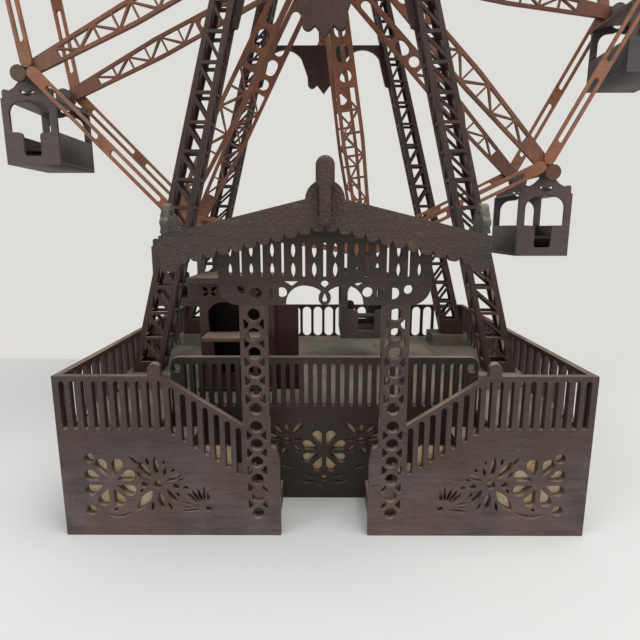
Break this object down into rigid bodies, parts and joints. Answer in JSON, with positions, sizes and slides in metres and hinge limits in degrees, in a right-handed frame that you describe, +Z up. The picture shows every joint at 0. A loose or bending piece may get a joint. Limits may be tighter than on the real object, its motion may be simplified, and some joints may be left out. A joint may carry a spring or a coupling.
{
  "type": "ferris wheel toy",
  "caption": "Fretwork wooden ferris wheel turned by a crank, with hanging gondolas between lattice towers on a fenced base with stairs, a gabled entrance and a ticket kiosk.",
  "frame": {"origin": "centre of the base's underside, on the bottom edge of the bearer under the deck", "axes": "+Z up, +Y from the entrance to the back, +X to the right seen from the entrance"},
  "size_m": [0.7326, 0.404, 0.8977],
  "materials": {
    "base_walnut": "dark stained, thinly varnished",
    "gable_walnut": "dark stained, dusty",
    "deck_wood": "worn grey-olive paint",
    "backing_paper_board": "thin pale board, speckled",
    "kiosk_wood": "dark red-brown stain",
    "tower_wood": "dark stained",
    "wheel_wood": "warm brown, lightly varnished",
    "gondola_wood": "dark grey-brown stain",
    "bright_wire": "drawn wire and rod",
    "brass_bush": "plain turned tube"
  },
  "bodies": {
    "base": {"front_panel_left": "base_walnut", "front_panel_right": "base_walnut", "pillar_left": "base_walnut", "pillar_right": "base_walnut", "header_board": "base_walnut", "bargeboard_left": "gable_walnut", "bargeboard_right": "gable_walnut", "roof_boards": "gable_walnut", "ridge_finial": "gable_walnut", "eave_ornaments": "gable_walnut", "inner_panel": "base_walnut", "side_wall_left": "base_walnut", "side_wall_right": "base_walnut", "back_wall": "base_walnut", "deck_main": "deck_wood", "deck_corners": "deck_wood", "floor_bearer": "base_walnut", "stairs_left": "base_walnut", "stairs_right": "base_walnut", "floral_backing": "backing_paper_board", "kiosk_floor": "kiosk_wood", "kiosk_front": "kiosk_wood", "kiosk_walls": "kiosk_wood", "kiosk_counter": "kiosk_wood", "kiosk_roof": "kiosk_wood", "kiosk_screen": "kiosk_wood", "tower_plinths": "deck_wood", "leg_front_left": "tower_wood", "leg_front_right": "tower_wood", "leg_rear_left": "tower_wood", "leg_rear_right": "tower_wood", "arch_beam_front": "tower_wood", "arch_beam_rear": "tower_wood", "bearing_beam_front": "tower_wood", "bearing_beam_rear": "tower_wood", "bearing_bushes": "brass_bush"},
    "wheel": {"axle": "bright_wire", "hub_front": "wheel_wood", "hub_rear": "wheel_wood", "spokes_front": "wheel_wood", "spokes_rear": "wheel_wood", "rim_struts_front": "wheel_wood", "rim_struts_rear": "wheel_wood", "pivot_rods": "bright_wire", "pivot_discs": "wheel_wood", "crank_arm": "wheel_wood", "crank_pin": "bright_wire"},
    "knob": {"crank_knob": "wheel_wood"},
    "cabin_1": {"gondola_1": "gondola_wood"},
    "cabin_2": {"gondola_2": "gondola_wood"},
    "cabin_3": {"gondola_3": "gondola_wood"},
    "cabin_4": {"gondola_4": "gondola_wood"},
    "cabin_5": {"gondola_5": "gondola_wood"},
    "cabin_6": {"gondola_6": "gondola_wood"},
    "cabin_7": {"gondola_7": "gondola_wood"},
    "cabin_8": {"gondola_8": "gondola_wood"},
    "cabin_9": {"gondola_9": "gondola_wood"},
    "cabin_10": {"gondola_10": "gondola_wood"}
  },
  "joints": [
    {"name": "wheel_spin", "type": "hinge", "parent": "base", "child": "wheel", "pos_m": [0, 0.04, 0.549], "axis": [0, 1, 0], "continuous": true},
    {"name": "knob_spin", "type": "hinge", "parent": "wheel", "child": "knob", "pos_m": [0, 0.172, 0.487], "axis": [0, 1, 0], "continuous": true},
    {"name": "gondola_1_swing", "type": "hinge", "parent": "wheel", "child": "cabin_1", "pos_m": [0.04774, 0.04, 0.20934], "axis": [0, 1, 0], "continuous": true},
    {"name": "gondola_2_swing", "type": "hinge", "parent": "wheel", "child": "cabin_2", "pos_m": [0.23827, 0.04, 0.30227], "axis": [0, 1, 0], "continuous": true},
    {"name": "gondola_3_swing", "type": "hinge", "parent": "wheel", "child": "cabin_3", "pos_m": [0.33779, 0.04, 0.48944], "axis": [0, 1, 0], "continuous": true},
    {"name": "gondola_4_swing", "type": "hinge", "parent": "wheel", "child": "cabin_4", "pos_m": [0.30829, 0.04, 0.69936], "axis": [0, 1, 0], "continuous": true},
    {"name": "gondola_5_swing", "type": "hinge", "parent": "wheel", "child": "cabin_5", "pos_m": [0.16103, 0.04, 0.85185], "axis": [0, 1, 0], "continuous": true},
    {"name": "gondola_6_swing", "type": "hinge", "parent": "wheel", "child": "cabin_6", "pos_m": [-0.04774, 0.04, 0.88866], "axis": [0, 1, 0], "continuous": true},
    {"name": "gondola_7_swing", "type": "hinge", "parent": "wheel", "child": "cabin_7", "pos_m": [-0.23827, 0.04, 0.79573], "axis": [0, 1, 0], "continuous": true},
    {"name": "gondola_8_swing", "type": "hinge", "parent": "wheel", "child": "cabin_8", "pos_m": [-0.33779, 0.04, 0.60856], "axis": [0, 1, 0], "continuous": true},
    {"name": "gondola_9_swing", "type": "hinge", "parent": "wheel", "child": "cabin_9", "pos_m": [-0.30829, 0.04, 0.39864], "axis": [0, 1, 0], "continuous": true},
    {"name": "gondola_10_swing", "type": "hinge", "parent": "wheel", "child": "cabin_10", "pos_m": [-0.16103, 0.04, 0.24615], "axis": [0, 1, 0], "continuous": true}
  ],
  "couplings": [
    {"joint": "gondola_1_swing", "follows": "wheel_spin", "ratio": -1},
    {"joint": "gondola_2_swing", "follows": "wheel_spin", "ratio": -1},
    {"joint": "gondola_3_swing", "follows": "wheel_spin", "ratio": -1},
    {"joint": "gondola_4_swing", "follows": "wheel_spin", "ratio": -1},
    {"joint": "gondola_5_swing", "follows": "wheel_spin", "ratio": -1},
    {"joint": "gondola_6_swing", "follows": "wheel_spin", "ratio": -1},
    {"joint": "gondola_7_swing", "follows": "wheel_spin", "ratio": -1},
    {"joint": "gondola_8_swing", "follows": "wheel_spin", "ratio": -1},
    {"joint": "gondola_9_swing", "follows": "wheel_spin", "ratio": -1},
    {"joint": "gondola_10_swing", "follows": "wheel_spin", "ratio": -1}
  ]
}
